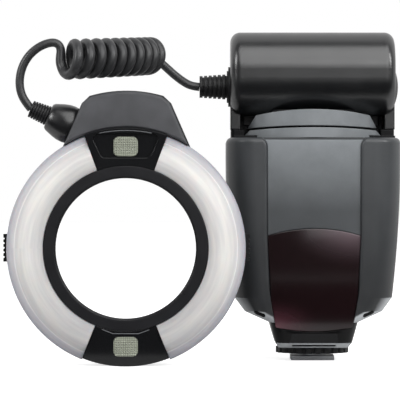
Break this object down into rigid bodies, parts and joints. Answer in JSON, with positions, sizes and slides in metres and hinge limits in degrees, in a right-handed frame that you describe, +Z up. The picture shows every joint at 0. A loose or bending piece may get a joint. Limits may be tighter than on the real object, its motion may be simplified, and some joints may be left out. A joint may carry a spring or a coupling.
{
  "type": "macro ring flash",
  "caption": "Ring-shaped flash head with frosted diffusers, joined by a curly cord to a control unit with a barrel across its top and a shoe foot.",
  "frame": {"origin": "bottom centre of the bounding box", "axes": "+Z up, the ring and the sensor window face -Y, the control unit is on the +X side"},
  "size_m": [0.1679, 0.083, 0.1411],
  "materials": {
    "black_plastic": "fine spark-eroded satin",
    "grey_plastic": "satin charcoal, fine spark-eroded grain",
    "dark_grey_plastic": "satin charcoal",
    "soft_black": "smooth matt black",
    "gloss_black": "gloss black",
    "ruby_window": "polished dark red, nearly opaque",
    "frosted": "frosted white diffuser",
    "lamp_lens": "clear with a fine prism grid",
    "rubber_black": "matt rubber",
    "cord_jacket": "smooth satin sheath",
    "display_glass": "clear window",
    "display_grey": "display panel",
    "steel": "brushed",
    "zinc_screw": "bright zinc",
    "reflector_metal": "bright rolled sheet",
    "tube_glass": "clear glass tube",
    "holder_white": "moulded insulator",
    "board_green": "printed board",
    "gilt": "gold-plated",
    "cell_jacket": "printed sleeve",
    "capacitor_sleeve": "shrink sleeve",
    "copper_winding": "wound copper"
  },
  "bodies": {
    "flash_frame": {"barrel_cap_left": "soft_black", "barrel_cap_right": "soft_black", "barrel_housing": "grey_plastic", "battery_cells": "cell_jacket", "battery_tray": "soft_black", "bottom_block": "grey_plastic", "case_screws": "zinc_screw", "centre_panel": "dark_grey_plastic", "chin_cover": "black_plastic", "cord_coil": "cord_jacket", "cord_gland": "gloss_black", "cord_lead_ring": "cord_jacket", "cord_lead_unit": "cord_jacket", "diffuser_left": "frosted", "diffuser_right": "frosted", "display_module": "display_grey", "display_window": "display_glass", "flash_tubes": "tube_glass", "foot_plate": "steel", "front_shell": "grey_plastic", "hinge_pin": "steel", "hump_cover": "grey_plastic", "inner_contacts": "gilt", "key_mat": "rubber_black", "lamp_boards": "board_green", "lamp_module": "gloss_black", "lamp_windows": "lamp_lens", "lower_collar": "grey_plastic", "main_board": "board_green", "main_capacitor": "capacitor_sleeve", "neck_plate": "black_plastic", "neck_tube": "soft_black", "rear_panel": "black_plastic", "rear_shell": "grey_plastic", "reflectors": "reflector_metal", "ring_board": "board_green", "ring_collar": "black_plastic", "ring_rear_cover": "grey_plastic", "ring_screws": "zinc_screw", "ring_strain_relief": "rubber_black", "sensor_window": "ruby_window", "shoe_contacts": "gilt", "top_block": "grey_plastic", "transformer": "copper_winding", "tube_holders": "holder_white", "unit_strain_relief": "rubber_black", "upper_collar": "grey_plastic"},
    "battery_door": {"battery_door": "grey_plastic", "door_contacts": "gilt"},
    "lock_wheel": {"lock_wheel": "soft_black"},
    "lock_pin": {"lock_pin": "steel"},
    "power_switch": {"power_switch": "rubber_black"},
    "release_latch_left": {"release_latch_left": "soft_black"},
    "release_latch_right": {"release_latch_right": "soft_black"},
    "set_button": {"set_button": "rubber_black"},
    "left_button": {"left_button": "rubber_black"},
    "right_button": {"right_button": "rubber_black"},
    "mode_button": {"mode_button": "rubber_black"},
    "lamp_button": {"lamp_button": "rubber_black"},
    "test_button": {"test_button": "rubber_black"}
  },
  "joints": [
    {"name": "battery_door_hinge", "type": "hinge", "parent": "flash_frame", "child": "battery_door", "pos_m": [0.08185, 0.0324, 0.067], "axis": [0, 0, 1], "range_deg": [0, 100]},
    {"name": "lock_wheel_turn", "type": "hinge", "parent": "flash_frame", "child": "lock_wheel", "pos_m": [0.04675, 0.014, 0.00435], "axis": [0, 0, 1], "range_deg": [0, 60]},
    {"name": "lock_pin_drop", "type": "slide", "parent": "flash_frame", "child": "lock_pin", "axis": [0, 0, -1], "range_m": [0, 0.0014]},
    {"name": "power_switch_slide", "type": "slide", "parent": "flash_frame", "child": "power_switch", "axis": [1, 0, 0], "range_m": [0, 0.004]},
    {"name": "release_left_press", "type": "slide", "parent": "flash_frame", "child": "release_latch_left", "axis": [1, 0, 0], "range_m": [0, 0.0015], "stiffness_N_per_m": 400},
    {"name": "release_right_press", "type": "slide", "parent": "flash_frame", "child": "release_latch_right", "axis": [-1, 0, 0], "range_m": [0, 0.0015], "stiffness_N_per_m": 400},
    {"name": "set_button_press", "type": "slide", "parent": "flash_frame", "child": "set_button", "axis": [0, -1, 0], "range_m": [0, 0.0005], "stiffness_N_per_m": 600},
    {"name": "left_button_press", "type": "slide", "parent": "flash_frame", "child": "left_button", "axis": [0, -1, 0], "range_m": [0, 0.0005], "stiffness_N_per_m": 600},
    {"name": "right_button_press", "type": "slide", "parent": "flash_frame", "child": "right_button", "axis": [0, -1, 0], "range_m": [0, 0.0005], "stiffness_N_per_m": 600},
    {"name": "mode_button_press", "type": "slide", "parent": "flash_frame", "child": "mode_button", "axis": [0, -1, 0], "range_m": [0, 0.0005], "stiffness_N_per_m": 600},
    {"name": "lamp_button_press", "type": "slide", "parent": "flash_frame", "child": "lamp_button", "axis": [0, -1, 0], "range_m": [0, 0.0005], "stiffness_N_per_m": 600},
    {"name": "test_button_press", "type": "slide", "parent": "flash_frame", "child": "test_button", "axis": [0, -1, 0], "range_m": [0, 0.0005], "stiffness_N_per_m": 600}
  ],
  "couplings": [
    {"joint": "lock_pin_drop", "follows": "lock_wheel_turn", "m_per_rad": 0.001336}
  ]
}
